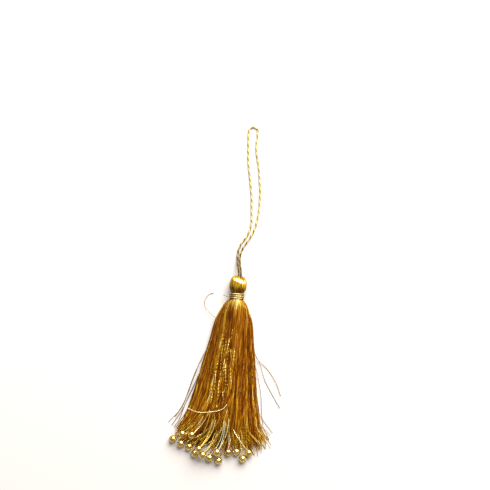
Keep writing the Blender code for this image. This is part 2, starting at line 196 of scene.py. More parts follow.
# Hanging loop's route, as in the solids
CORD_DIAMETER, CORD_TURN = 0.8, 2.8
CORD_PLY, CORD_APART = 0.235, 0.165        # together half the cord's diameter
CORD_REST_Z = 0.41         # the cord's middle where it lies on the floor
CORD_TONES = (0.16, 0.04, -0.30)           # how the three plies differ
CORD_TONE, CORD_SHADE, CORD_SHADE_Y, CORD_SHADE_OVER = 0.62, 0.54, 39.5, 11.0     # painted shade near the head
CORD_ROUTE = [
    (-0.15, 38.87, 3.40), (-0.40, 40.8, 3.15), (-0.95, 43.0, 2.10), (-1.45, 45.6, 0.95),
    (-1.55, 48.6, 0.45), (-0.75, 51.6, 0.42), (0.80, 54.3, 0.42), (2.10, 57.3, 0.42),
    (2.55, 61.2, 0.42), (2.05, 66.0, 0.42), (1.60, 70.5, 0.42), (0.55, 76.0, 0.42),
    (-0.60, 81.2, 0.42), (-1.65, 86.5, 0.42), (-2.20, 91.5, 0.42), (-2.62, 96.0, 0.42),
    (-2.72, 98.0, 0.42), (-2.17, 99.32, 0.42), (-0.85, 99.87, 0.42), (0.47, 99.32, 0.42),
    (1.02, 98.0, 0.42), (1.02, 96.0, 0.42),
    (0.95, 92.5, 0.42), (1.75, 88.3, 0.42), (3.00, 83.7, 0.42), (3.85, 79.1, 0.42),
    (4.65, 74.0, 0.42), (5.00, 69.0, 0.42), (4.95, 64.0, 0.42), (4.45, 60.0, 0.42),
    (3.50, 56.6, 0.42), (2.10, 53.6, 0.42), (0.60, 50.9, 0.42), (-0.35, 48.2, 0.45),
    (-0.50, 45.6, 0.95), (-0.03, 43.0, 2.10), (0.52, 40.8, 3.15), (0.75, 38.87, 3.40),
]

# Stray threads lying beside the skirt: the radius of each, and its (across, along) points
WISPS = [
    (0.18, [(-7.6, 14.0), (-9.9, 7.3), (-12.9, -0.9), (-14.9, -8.4), (-16.6, -15.5), (-19.4, -21.0)]),
    (0.15, [(-8.0, 11.0), (-11.6, 3.0), (-13.6, -4.0), (-15.6, -12.0), (-18.2, -18.6), (-22.0, -23.6)]),
    (0.20, [(-8.6, 6.0), (-11.8, -3.0), (-14.2, -10.5), (-16.9, -18.0), (-20.4, -24.6)]),
    (0.17, [(-9.4, 2.0), (-12.4, -5.0), (-15.0, -12.5), (-16.6, -18.0), (-17.6, -22.0), (-19.4, -25.4)]),
    (0.16, [(-7.4, 20.6), (-10.5, 22.8), (-12.5, 25.1), (-12.7, 27.6), (-11.3, 30.0), (-9.2, 30.8)]),
    (0.16, [(8.6, 13.0), (10.8, 6.5), (15.6, 2.4), (19.7, -2.5), (22.4, -7.9)]),
    (0.14, [(9.6, 8.5), (12.6, 3.9), (15.3, -2.4), (20.0, -9.4), (22.6, -12.8)]),
    (0.14, [(9.8, 5.0), (11.8, 0.3), (14.4, -8.8), (15.4, -15.6), (16.6, -20.5)]),
    (0.13, [(12.8, -12.5), (14.9, -16.6), (17.5, -19.8), (20.8, -23.2)]),
    (0.14, [(12.6, -14.5), (14.6, -19.0), (17.2, -22.0), (19.6, -26.2)]),
    (0.13, [(11.8, -14.5), (13.6, -20.0), (14.9, -25.0), (15.6, -29.6)]),
    (0.16, [(8.5, -17.0), (9.6, -22.0), (11.0, -26.4), (12.8, -30.4)]),
]
WISP_THIN = 0.75           # the solids are thicker than the real threads, to be strong enough
WISP_LEAVES_Z, WISP_WAVE = 1.6, 0.35       # height at the skirt, and of its waves on the floor
WISP_STEP = 0.6

# Two beaded threads that lie apart: one by (across, along) on the silk, one by (across, along, height)
CROSSING_THREAD = [(-14.6, -17.0), (-13.9, -17.3), (-10.2, -18.0), (-6.1, -17.4), (-2.0, -16.3),
                   (-0.1, -15.0), (0.9, -13.6)]
SLANTING_THREAD = [(4.4, -22.6, 3.0), (5.5, -24.6, 3.7), (7.3, -26.9, 3.6), (9.3, -29.2, 2.9),
                   (11.3, -31.4, 1.8)]
CROSSING_LIFT, CROSSING_STARTS_Z = 0.62, 1.6
APART_STEP, APART_TONE = 0.2, 0.95

# Binding and its end that is left out
BINDING_TOP_Y, BINDING_BOTTOM_Y, BINDING_TURNS = 31.85, 29.47, 5
BINDING_RADIUS, BINDING_PLY, BINDING_APART, BINDING_PITCH = 2.82, 0.11, 0.10, 1.1
BINDING_STATIONS, BINDING_STARTS = 620, 0.4
BINDING_TAIL = [(-2.5, 30.1, 4.7), (-3.2, 30.0, 4.9), (-4.2, 30.1, 4.6), (-5.4, 30.4, 3.9)]

# Set, in metres and watts
FLOOR_HALF = 3.0
WINDOW_PLACE, WINDOW_TARGET = (0.15, 0.60, 0.45), (0, 0.02, 0)
WINDOW_SIZE, WINDOW_POWER, WINDOW_COLOUR = 0.85, 19.5, (1.0, 0.98, 0.96)
ROOM_COLOUR, ROOM_STRENGTH = (1.0, 0.86, 0.73), 0.40

rng = np.random.default_rng(11)


def ease(t):
    """Smooth rise from 0 to 1."""
    t = np.clip(t, 0.0, 1.0)
    return t * t * (3 - 2 * t)


def hermite(t, low, low_slope, high, high_slope):
    """Smooth change from one value to another, with a slope given at each."""
    return ((2 * t**3 - 3 * t**2 + 1) * low + (t**3 - 2 * t**2 + t) * low_slope
            + (3 * t**2 - 2 * t**3) * high + (t**3 - t**2) * high_slope)


def run_along(points):
    """Distance from the first point of a route to each of its points."""
    return np.concatenate(([0], np.cumsum(np.linalg.norm(np.diff(points, axis=0), axis=1))))


def read_rows(rows, at):
    """Every column of a table, read smoothly at places given in its first column."""
    table = np.array(rows, float)
    knots = table[:, 0]
    at = np.asarray(at, float)
    i = np.clip(np.searchsorted(knots, at, "right") - 1, 0, len(knots) - 2)
    step = knots[i + 1] - knots[i]
    t = (at - knots[i]) / step
    values = []
    for column in table[:, 1:].T:
        slopes = np.gradient(column, knots)
        values.append(hermite(t, column[i], step * slopes[i], column[i + 1], step * slopes[i + 1]))
    return values


def skirt_at(down):
    """Half width, underside and thickness of the skirt at a distance below its top."""
    half_width, under, thick = read_rows(SKIRT_ROWS, down)
    return half_width, np.maximum(under, 0.0), thick


def skirt_surface(angle, down, share):
    """Point of the skirt's section, at an angle round it and a share of the way out from its middle."""
    half_width, under, thick = skirt_at(down)
    flat = ease(down / FLATTEN_BY)
    rise = np.sin(angle)
    z = under + thick * ((1 - flat) * (1 + rise) / 2 + flat * np.maximum(0.0, rise))
    middle = under + 0.4 * thick
    return share * half_width * np.cos(angle), middle + share * (z - middle)


def sinking(down):
    """What is left of the silk's height towards its cut ends."""
    return 1 - SINK * ease((down - SINK_FROM) / SINK_OVER)


def dome_height(across, down):
    """Height of the skirt's upper side, before it sinks."""
    half_width, under, thick = skirt_at(down)
    return under + thick * np.sqrt(np.clip(1 - (across / half_width) ** 2, 0, 1))


def silk_top(across, down):
    """Height of the silk's upper side."""
    return dome_height(across, down) * sinking(down)


def smooth_route(points, spacing):
    """Evenly spaced points on a smooth curve through the given ones."""
    points = np.array(points, float)
    padded = np.concatenate(([2 * points[0] - points[1]], points, [2 * points[-1] - points[-2]]))
    t = np.linspace(0, 1, 24, endpoint=False)[:, None]
    dense = []
    for before, low, high, after in zip(padded, padded[1:], padded[2:], padded[3:]):
        dense.append(hermite(t, low, (high - before) / 2, high, (after - low) / 2))
    dense = np.concatenate(dense + [points[-1:]])
    run = run_along(dense)
    places = np.linspace(0, run[-1], max(2, round(run[-1] / spacing) + 1))
    return np.stack([np.interp(places, run, column) for column in dense.T], axis=1)


def across_frame(path, reference):
    """Unit vectors across a path: one square to the reference, and one square to both."""
    tangent = np.gradient(path, axis=-2)
    tangent /= np.linalg.norm(tangent, axis=-1, keepdims=True)
    side = np.cross(tangent, reference)
    side /= np.linalg.norm(side, axis=-1, keepdims=True)
    return side, np.cross(side, tangent)


def strand_arrays(paths, radii, sides, reference):
    """Points and faces of tubes with as many stations each; radii are one number or one per station."""
    paths = np.asarray(paths, float)
    count, stations, _ = paths.shape
    side, rise = across_frame(paths, reference)
    radii = np.broadcast_to(radii, (count, stations))[..., None, None]
    angle = TAU * (np.arange(sides) + 0.25) / sides
    ring = np.cos(angle)[:, None] * side[:, :, None] + np.sin(angle)[:, None] * rise[:, :, None]
    points = (paths[:, :, None] + radii * ring).reshape(-1, 3)
    first = (np.arange(count)[:, None, None] * stations + np.arange(stations - 1)[None, :, None]) * sides
    here, there = np.arange(sides), (np.arange(sides) + 1) % sides
    quads = np.stack(np.broadcast_arrays(first + here, first + there, first + sides + there,
                                         first + sides + here), axis=-1).reshape(-1, 4)
    starts = np.arange(count)[:, None] * stations * sides
    near = starts + here[::-1]
    far = starts + (stations - 1) * sides + here
    return points, quads.tolist() + near.tolist() + far.tolist()


def strip_corners(places, stations, sides, columns, rows):
    """Where the corners of tubes' faces lie on a map for baking: a strip for each tube, a cap at each end.

    Places are the tubes' numbers on a grid of so many columns and rows.
    """
    left, low = (places % columns) / columns, (places // columns) / rows
    wide, high = 1 / (columns * sides), 1 / (rows * (stations + 1))
    u = left[:, None, None] + wide * np.arange(sides)
    v = low[:, None, None] + high * np.arange(1, stations)[:, None]
    quads = [np.stack(np.broadcast_arrays(u + wide * right, v + high * up), axis=-1)
             for right, up in ((0, 0), (1, 0), (1, 1), (0, 1))]
    angle = TAU * np.arange(sides) / sides
    cap_radius = 0.45      # as a share of a cap's place on the map
    caps = []
    for row in (0, stations):
        u = left[:, None] + wide * sides * (0.5 + cap_radius * np.cos(angle))
        v = low[:, None] + high * (row + 0.5 + cap_radius * np.sin(angle))
        caps.append(np.stack([u, v], axis=-1).reshape(-1, 2))
    return np.concatenate([np.stack(quads, axis=-2).reshape(-1, 2)] + caps)


def map_grid(groups):
    """Columns and rows of a map for baking with a strip for every tube, so that faces are about square."""
    tubes = sum(len(group[0]) for group in groups)
    stations, sides = groups[0][0].shape[1], groups[0][2]
    rows = max(1, round(math.sqrt(tubes * sides / (stations + 1))))
    return math.ceil(tubes / rows), rows


def link_strands(name, groups, material):
    """One mesh of several groups of tubes, (paths, radii, sides, reference, tone of each station)."""
    columns, rows = map_grid(groups)
    points, faces, shades, corners = [], [], [], []
    start, drawn = 0, 0
    for paths, radii, sides, reference, tone in groups:
        count, stations, _ = paths.shape
        made, made_faces = strand_arrays(paths, radii, sides, reference)
        points.append(made)
        faces += [[v + start for v in face] for face in made_faces]
        shades.append(np.repeat(np.broadcast_to(tone, (count, stations)), sides))
        corners.append(strip_corners(drawn + np.arange(count), stations, sides, columns, rows))
        start += len(made)
        drawn += count
    piece = link_mesh(name, np.concatenate(points), faces, material, np.concatenate(shades))
    bake_map = piece.data.uv_layers.new(name="OFBake")
    bake_map.data.foreach_set("uv", np.concatenate(corners).ravel().astype(np.float32))
    return piece


def ring_faces(rings, sides, closed):
    """Faces between neighbouring rings of points, and between the last and the first if closed."""
    faces = []
    for ring in range(rings if closed else rings - 1):
        here, there = ring * sides, (ring + 1) % rings * sides
        for i in range(sides):
            beside = (i + 1) % sides
            faces.append([here + i, there + i, there + beside, here + beside])
    return faces


def link_mesh(name, points, faces, material, tone=None):
    """A piece from points in millimetres, with the tone of each point kept for its material."""
    mesh = bpy.data.meshes.new(name)
    mesh.from_pydata((np.asarray(points) * MM).tolist(), [], faces)
    mesh.shade_smooth()
    if tone is not None:
        layer = mesh.attributes.new("tone", "FLOAT", "POINT")
        layer.data.foreach_set("value", np.asarray(tone, np.float32))
    mesh.materials.append(material)
    obj = bpy.data.objects.new(name, mesh)
    bpy.context.scene.collection.objects.link(obj)
    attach(obj, "root")
    return obj


def plies(route, count, offset, pitch, reference, start=0.0):
    """Routes of the plies twisted round a route."""
    side, rise = across_frame(route, reference)
    run = run_along(route)
    turned = []
    for ply in range(count):
        turn = (start + TAU * (run / pitch + ply / count))[:, None]
        turned.append(route + offset * (np.cos(turn) * side + np.sin(turn) * rise))
    return np.array(turned)


# Materials

# How fine their noise is across, along and up
SILK_STREAKS, SILK_FIBRES = (1700, 150, 1700), (9000, 700, 9000)
THREAD_PATCHES, BEAD_PATCHES = (1500, 1500, 1500), (900, 900, 900)


def new_shader(name, colour, roughness, metallic=0.0):
    """A new material, its node tree and its shader."""
    material = bpy.data.materials.new(name)
    material.use_nodes = True
    shader = material.node_tree.nodes["Principled BSDF"]
    shader.inputs["Base Color"].default_value = (*colour, 1)
    shader.inputs["Roughness"].default_value = roughness
    shader.inputs["Metallic"].default_value = metallic
    return material, material.node_tree, shader


def stretched_noise(tree, scale, detail):
    """Noise with a scale of its own across, along and up, so that it can be drawn out along the tassel."""
    place = tree.nodes.new("ShaderNodeTexCoord")
    mapping = tree.nodes.new("ShaderNodeMapping")
    mapping.inputs["Scale"].default_value = scale
    noise = tree.nodes.new("ShaderNodeTexNoise")
    noise.inputs["Scale"].default_value = 1.0
    noise.inputs["Detail"].default_value = detail
    tree.links.new(place.outputs["Object"], mapping.inputs["Vector"])
    tree.links.new(mapping.outputs["Vector"], noise.inputs["Vector"])
    return noise


def ramp(tree, stops):
    """Colour ramp with the given (position, colour) stops."""
    node = tree.nodes.new("ShaderNodeValToRGB")
    elements = node.color_ramp.elements
    while len(elements) < len(stops):
        elements.new(0.5)
    for element, (position, colour) in zip(elements, stops):
        element.position = position
        element.color = (*colour, 1)
    return node


def add_math(tree, operation, first, second):
    """Output of a maths node that takes two numbers or outputs of other nodes."""
    node = tree.nodes.new("ShaderNodeMath")
    node.operation = operation
    for socket, value in zip(node.inputs, (first, second)):
        if isinstance(value, (int, float)):
            socket.default_value = value
        else:
            tree.links.new(value, socket)
    return node.outputs[0]


def colour_by_tone(tree, shader, stops, noise, strength):
    """Colour by the tone of each thread, shifted from place to place by noise."""
    tone = tree.nodes.new("ShaderNodeAttribute")
    tone.attribute_name = "tone"
    shift = add_math(tree, "MULTIPLY", add_math(tree, "SUBTRACT", noise.outputs["Fac"], 0.5), strength)
    colours = ramp(tree, stops)
    tree.links.new(add_math(tree, "ADD", tone.outputs["Fac"], shift), colours.inputs["Fac"])
    tree.links.new(colours.outputs["Color"], shader.inputs["Base Color"])


def vary_roughness(tree, shader, noise, roughness):
    """Roughness that changes with noise, from smoother to rougher than the given one."""
    worn = tree.nodes.new("ShaderNodeMapRange")
    worn.inputs["To Min"].default_value = roughness * 0.6
    worn.inputs["To Max"].default_value = roughness * 1.5
    tree.links.new(noise.outputs["Fac"], worn.inputs["Value"])
    tree.links.new(worn.outputs["Result"], shader.inputs["Roughness"])


def silk_material(name, stops, roughness, gloss):
    """Yarn with fine streaks along it and finer fibres on it."""
    material, tree, shader = new_shader(name, stops[1][1], roughness, 0.4)
    colour_by_tone(tree, shader, stops, stretched_noise(tree, SILK_STREAKS, 5.0), 0.95)
    fibre = stretched_noise(tree, SILK_FIBRES, 2.0)
    bump = tree.nodes.new("ShaderNodeBump")
    bump.inputs["Strength"].default_value = 0.25
    bump.inputs["Distance"].default_value = 0.03 * MM
    tree.links.new(fibre.outputs["Fac"], bump.inputs["Height"])
    tree.links.new(bump.outputs["Normal"], shader.inputs["Normal"])
    shader.inputs["Specular IOR Level"].default_value = gloss
    shader.inputs["Specular Tint"].default_value = (1.0, 0.88, 0.50, 1)
    return material


def thread_material(name, stops, roughness, metallic, gloss):
    """Metal-wrapped thread: small patches in its colour, and gloss that changes with them."""
    material, tree, shader = new_shader(name, stops[-1][1], roughness, metallic)
    patches = stretched_noise(tree, THREAD_PATCHES, 4.0)
    colour_by_tone(tree, shader, stops, patches, 0.8)
    vary_roughness(tree, shader, patches, roughness)
    shader.inputs["Specular Tint"].default_value = (1.0, 0.90, 0.62, 1)
    shader.inputs["Specular IOR Level"].default_value = gloss
    return material


def make_amber_silk():
    """The skirt's silk, from brown for the painted shade between the threads to pale gold for painted
    highlights.
    """
    stops = [(0.0, (0.035, 0.006, 0.0003)), (0.3, (0.16, 0.034, 0.0006)), (0.55, (0.38, 0.120, 0.0022)),
             (0.78, (0.66, 0.36, 0.010)), (0.92, (0.92, 0.68, 0.06)), (1.0, (1.0, 0.92, 0.40))]
    return silk_material("amber_silk", stops, roughness=0.32, gloss=0.6)


def make_head_silk():
    stops = [(0.0, (0.045, 0.014, 0.0006)), (0.3, (0.19, 0.084, 0.002)), (0.55, (0.41, 0.24, 0.008)),
             (0.8, (0.74, 0.55, 0.06)), (1.0, (1.0, 0.97, 0.72))]
    return silk_material("head_silk", stops, roughness=0.34, gloss=0.4)


def make_shaded_core_silk():
    # very dark: painted shade where the core shows between the threads
    stops = [(0.0, (0.04, 0.010, 0.002)), (0.6, (0.14, 0.04, 0.005))]
    return silk_material("inner_silk", stops, roughness=0.6, gloss=0.6)


def make_stray_silk():
    stops = [(0.0, (0.14, 0.075, 0.035)), (1.0, (0.44, 0.28, 0.13))]
    return silk_material("stray_silk", stops, roughness=0.4, gloss=0.6)


def make_cord_yarn():
    stops = [(0.1, (0.045, 0.020, 0.001)), (0.35, (0.25, 0.15, 0.014)), (0.55, (0.50, 0.37, 0.10)),
             (0.85, (0.80, 0.70, 0.34))]
    return thread_material("gold_cord_yarn", stops, roughness=0.42, metallic=0.35, gloss=0.25)


def make_pale_thread():
    stops = [(0.1, (0.21, 0.075, 0.003)), (0.45, (0.66, 0.37, 0.02)), (0.75, (0.95, 0.68, 0.10)),
             (1.0, (1.0, 0.94, 0.58))]
    return thread_material("pale_gold_thread", stops, roughness=0.22, metallic=0.5, gloss=0.5)


def make_binding_gilt():
    stops = [(0.1, (0.13, 0.058, 0.008)), (0.5, (0.47, 0.32, 0.08)), (0.9, (0.86, 0.77, 0.46))]
    return thread_material("binding_gilt", stops, roughness=0.26, metallic=0.4, gloss=0.5)


def make_polished_gold():
    """Gilt metal, tarnished in faint patches."""
    dark, light, roughness = (0.50, 0.33, 0.085), (0.98, 0.79, 0.31), 0.19
    material, tree, shader = new_shader("polished_gold", light, roughness, 1.0)
    shader.inputs["Specular Tint"].default_value = (0.45, 0.30, 0.12, 1)
    patches = stretched_noise(tree, BEAD_PATCHES, 5.0)
    colours = ramp(tree, [(0.35, dark), (0.62, light)])
    tree.links.new(patches.outputs["Fac"], colours.inputs["Fac"])
    tree.links.new(colours.outputs["Color"], shader.inputs["Base Color"])
    vary_roughness(tree, shader, patches, roughness)
    return material


# Pieces

def spread_angle(u, down, lower):
    """Angle round the section for a thread's place u: even round the neck, even across lower down."""
    flat = ease(down / FLATTEN_BY)
    angle = (1 - flat) * (np.pi * u) + flat * np.arccos(np.clip(1 - 2 * u, -1, 1))
    return -angle if lower else angle


def swept(x, down):
    """How far the skirt's lower left is drawn aside at a place across it."""
    places, shares = zip(*SWEEP_SHARE)
    bend = SWEEP_BEND * np.maximum(0, down - SWEEP_FROM) ** 2
    return bend * np.interp(x / skirt_at(down)[0], places, shares)


def waves(values, longest, size, count):
    """A smooth random wander of each thread along its length, made of three waves."""
    total = 0
    for octave in (1, 2.3, 4.7):
        phase, pace = rng.uniform(0, TAU, (count, 1)), rng.uniform(0.8, 1.25, (count, 1))
        total = total + np.sin(values * TAU * octave * pace / longest + phase) / octave
    return size * total


def cut_ends(u, share, lock, locks):
    """How far down each thread is cut: in a bow across the skirt, unevenly, and shorter deep inside."""
    bow = np.sin(np.pi * np.clip(1.15 * u, 0, 1))
    uneven = rng.normal(0, 0.55, len(u)) + rng.uniform(-0.5, 0.5, locks)[lock]
    return (SILK_END_RIGHT + (SILK_END_LEFT - SILK_END_RIGHT) * u + SILK_LONGER * bow
            + SILK_END_SPREAD * (1.5 - u) * uneven - (1 - share) * rng.uniform(0, SILK_SHORTER, len(u)))


def gathered(u, middle, lock, locks, down):
    """Places of the threads on their way down: drawn towards the middles of their locks, and wandering."""
    gather = rng.uniform(0.25, 0.75, locks)[lock][:, None] * ease((down - 3) / 26)
    placed = u[:, None] + (middle - u)[:, None] * gather
    lock_wander = waves(LOCK_STATIONS, LOCK_SWAY_WAVE, LOCK_SWAY / locks, locks)[lock]
    wander = lock_wander + waves(down, THREAD_SWAY_WAVE, THREAD_SWAY / locks, len(u))
    return np.clip(placed + loosened(down) * wander, 0.002, 0.998)


def loosened(down):
    """How freely the threads lie, from 0 at the neck to 1."""
    return ease((down - 2) / 30)


def shoulder_folds(u, down):
    """How far the threads stand out or in, in soft folds that fade below the shoulder."""
    fold = rng.normal(0, 1, SHOULDER_FOLDS)[np.minimum((u * SHOULDER_FOLDS).astype(int), SHOULDER_FOLDS - 1)]
    return fold[:, None] * (1 - ease((down - FOLDS_UNTIL) / FOLDS_FADE))


def shaded(x, down):
    """Where the silk's ends lie lower, in the shade of the beaded threads."""
    return (ease((down - SHADE_DOWN) / 4) * ease((x - SHADE_LEFT) / 4)
            * (1 - ease((x - SHADE_RIGHT) / 3.5)))


def silk_tone(x, down, share, lower, lock, locks, fold, shade, tip):
    """Tones of the threads: each its own, with painted highlights, painted shade and painted light at the
    tips.
    """
    count = len(x)
    # painted shade: the inner shells are darker, the further in the darker
    own = (SILK_TONE + rng.normal(0, LOCK_TONES, locks)[lock] + rng.normal(0, THREAD_TONES, count)
           + BRIGHT_SILK * (rng.random(count) < BRIGHT_SILK_PART) - INNER_SHELL_SHADE * (1 - share))
    highlight_until = rng.uniform(*SHOULDER_HIGHLIGHT_UNTIL, count)[:, None]
    half_width = skirt_at(down)[0]
    # painted highlight: strongest across the middle of the upper side, weak on the under side, fading below
    # the binding
    front = (1 - 0.8 * np.abs(x) / half_width) * (0.2 if lower else 1.0)
    shoulder_highlight = rng.uniform(*SHOULDER_HIGHLIGHT_RANGE, (count, 1)) * front * (1 - ease(down / highlight_until))
    changes = waves(down, TONE_WAVE, TONE_CHANGE, count)
    low_right = (0.02 + 0.08 * ease(x / 6)) * ease((down - 34) / 12)
    # painted light: the cut ends are made paler, except where shade is painted
    pale_tip = (0.28 - 0.14 * ease((-x - 2) / 6)) * tip * (1 - shade)
    # painted shade in the sunk shoulder folds and painted light on those that stand out; painted light also
    # makes the left side lighter than the right
    return (own[:, None] + shoulder_highlight + 0.12 * fold * ease(down / 3) - 0.04 * x / half_width + changes
            + low_right - SHADE_DARK * shade + pale_tip)


def silk_paths(share, lower, locks, count):
    """Threads of one shell, from inside the binding to their cut ends, gathered into uneven locks."""
    u = (np.arange(count) + 0.5 + rng.uniform(-0.4, 0.4, count)) / count
    lock = np.minimum((u * locks + 0.25 * np.sin(TAU * 5 * u)).astype(int), locks - 1)
    middle = (lock + 0.5 + rng.uniform(-0.25, 0.25, locks)[lock]) / locks
    end = cut_ends(u, share, lock, locks)[:, None]
    down = SILK_BEGINS + (end - SILK_BEGINS) * np.linspace(0, 1, SILK_STATIONS) ** 1.1
    placed = gathered(u, middle, lock, locks, down)
    fold = shoulder_folds(u, down)
    x, z = skirt_surface(spread_angle(placed, down, lower), down, share - 0.035 * np.clip(-fold, 0, 1.2))
    x = x + loosened(down) * waves(down, SHAKE_WAVE, SHAKE, count)
    sunk = waves(LOCK_STATIONS, LOCK_RISE_WAVE, LOCK_RISE, locks)[lock]
    rise = sunk + waves(down, THREAD_RISE_WAVE, THREAD_RISE, count)
    z = z + loosened(down) * rise * (0.4 if lower else 1.0)
    aside = swept(x, down)
    x = x - aside
    z = np.minimum(z * sinking(down), silk_top(x, down) + SWEEP_LIFT * (aside > 0))
    shade = shaded(x, down)
    z = z * (1 - 0.25 * shade)
    tip = ease((down - end + SILK_TIP) / SILK_TIP)
    frayed = 1 + 0.9 * ease((x - 4) / 8)
    x = x + frayed * (tip * rng.normal(0, 0.7, (count, 1)) + tip ** 3 * rng.normal(0, 0.8, (count, 1)))
    z = np.maximum(z - tip * np.abs(rng.normal(0, 0.5, (count, 1))), SILK_RADIUS)
    tone = silk_tone(x, down, share, lower, lock, locks, fold, shade, tip)
    return np.stack([x, SKIRT_TOP_Y - down, z], axis=-1), tone


def make_silk(silk):
    """Silk threads in their shells, thinner at the root and at the very tip."""
    root = np.linspace(0, 1, SILK_STATIONS) / SILK_ROOT_PART
    width = SILK_RADIUS * (SILK_ROOT + (1 - SILK_ROOT) * ease(root))
    width[-1] *= 0.5
    for name in dict.fromkeys(shell[0] for shell in SHELLS):
        groups = []
        for _, share, lower, locks, count in (shell for shell in SHELLS if shell[0] == name):
            paths, tone = silk_paths(share, lower, locks, count)
            groups.append((paths, width, SILK_SIDES, UP, tone))
        piece = link_strands(name, groups, silk)
        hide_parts("head_and_skirt")


def make_core(dark_silk):
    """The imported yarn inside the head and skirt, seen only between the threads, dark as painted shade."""
    angle = TAU * np.arange(CORE_SIDES) / CORE_SIDES
    rings = []
    for y, radius in HEAD_ROWS[2:]:
        r = radius - CORE_INSET
        rings.append((r * np.cos(angle), y - CORE_DROP, AXIS_Z + r * np.sin(angle)))
    for down in np.linspace(CORE_BEGINS, CORE_END, CORE_RINGS):
        thin = CORE_SHARE * (1 - 0.75 * ease((down - CORE_END + CORE_TAPER) / CORE_TAPER))
        x, z = skirt_surface(angle, np.full(CORE_SIDES, down), thin)
        rings.append((x, SKIRT_TOP_Y - down, z))
    points = np.concatenate([np.stack(np.broadcast_arrays(*ring), axis=-1) for ring in rings])
    first, last = range(CORE_SIDES), range(len(points) - CORE_SIDES, len(points))
    faces = ring_faces(len(rings), CORE_SIDES, closed=False) + [list(first), list(reversed(last))]
    piece = link_mesh("silk_core", points, faces, dark_silk, np.zeros(len(points)))
    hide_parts("head_and_skirt")


def head_profile():
    """Stations along a head yarn, with the place along the tassel and the distance from the axis of each."""
    profile = np.array(HEAD_ROWS)
    run = run_along(profile)
    places = np.linspace(0, run[-1], HEAD_STATIONS)
    along, radius = np.interp(places, run, profile[:, 0]), np.interp(places, run, profile[:, 1])
    for values in (along, radius):
        values[1:-1] = np.convolve(values, (0.25, 0.5, 0.25), "valid")
    return places, along, radius


def head_yarn(inset, angle, places, along, radius):
    """Route of one yarn of the head and the tone along it, with a painted highlight in a band across the
    front.
    """
    sway = 0.06 * np.sin(places / rng.uniform(1.2, 2.6) + rng.uniform(0, TAU))
    turn = angle + sway * np.sin(np.pi * places / places[-1])
    r = radius - inset + 0.03 * rng.uniform(-1, 1) + 0.02 * np.sin(places / 0.9 + rng.uniform(0, TAU))
    x, z = r * np.cos(turn), np.maximum(AXIS_Z + r * np.sin(turn), HEAD_REST_Z)
    # painted highlight: a slanting band across the front of the head
    band = np.exp(-((along - HIGHLIGHT_BAND_Y + HIGHLIGHT_BAND_SLOPE * x) / HIGHLIGHT_BAND_HALF) ** 2 - ((x - 0.2) / 2.5) ** 4)
    mottle = HEAD_MOTTLE * np.sin(places / 0.7 + rng.uniform(0, TAU)) * (1 - band)
    # painted shade on the crown above the band and on the lower head towards the neck
    crown = ease((along - HIGHLIGHT_BAND_Y) / 0.8)
    neck = ease((NECK_SHADE_Y - along) / 2.4)
    tone = (HEAD_TONE + rng.normal(0, HEAD_TONES) + mottle + HIGHLIGHT_BAND_BRIGHT * band - CROWN_SHADE * crown
            - NECK_SHADE * neck)
    # painted shade on the inner layer, and painted light that makes the right side lighter than the left
    tone -= 1.5 * (inset - HEAD_LAYERS[0][0]) - 0.05 * x / 3.5
    return np.stack([x, along, z], axis=-1), tone


def make_head(silk):
    """Yarns folded over the loop's ends and drawn down into the binding."""
    places, along, radius = head_profile()
    width = HEAD_YARN * np.clip(radius / 3.2, 0.45, 1.0)
    groups = []
    for inset, count in HEAD_LAYERS:
        for i in range(count):
            angle = TAU * (i + rng.uniform(-0.4, 0.4)) / count
            path, tone = head_yarn(inset, angle, places, along, radius)
            groups.append((path[None], width, 5, (-math.sin(angle), 0, math.cos(angle)), tone))
    piece = link_strands("head_yarns", groups, silk)
    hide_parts("head_and_skirt")


def make_binding(thread):
    """A two-ply metallic thread wound round the neck, its end left out at one side."""
    turns = np.linspace(0, 1, BINDING_STATIONS)
    angle = TAU * BINDING_TURNS * turns + BINDING_STARTS
    edge = BINDING_PLY + BINDING_APART
    along = BINDING_TOP_Y - edge - (BINDING_TOP_Y - BINDING_BOTTOM_Y - 2 * edge) * turns
    along = along + 0.06 * np.sin(angle * 1.37) + 0.10 * np.cos(angle)
    radius = BINDING_RADIUS + 0.04 * np.sin(1.7 * angle)
    route = np.stack([radius * np.cos(angle), along, AXIS_Z + radius * np.sin(angle)], axis=-1)
    # painted highlight on the front of each turn, with darker sides; the turns also alternate paler and
    # darker
    tone = 0.20 + 0.50 * np.exp(-((np.cos(angle) - 0.1) / 0.5) ** 2) + 0.30 * np.sin(angle / 2 + 0.3)
    tail = smooth_route(BINDING_TAIL, 0.15)
    groups = [(plies(route, 2, BINDING_APART, BINDING_PITCH, ALONG), BINDING_PLY, 6, ALONG, tone),
              (plies(tail, 2, 0.06, 1.0, UP), 0.08, 5, UP, 0.18)]
    piece = link_strands("binding_thread", groups, thread)
    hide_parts("neck_binding")


def make_loop(yarn):
    """The three-ply hanging cord, with painted shade near the head."""
    route = smooth_route(CORD_ROUTE, CORD_TURN / 9)
    route[:, 2] = np.maximum(route[:, 2], CORD_REST_Z)
    strands = plies(route, len(CORD_TONES), CORD_APART, CORD_TURN, UP)
    # painted shade on the cord near the head
    near_head = np.exp(-((route[:, 1] - CORD_SHADE_Y) / CORD_SHADE_OVER) ** 2)
    tone = CORD_TONE - CORD_SHADE * near_head + np.array(CORD_TONES)[:, None]
    piece = link_strands("loop_cord", [(strands, CORD_PLY, 7, UP, tone)], yarn)
    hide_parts("hanging_loop")


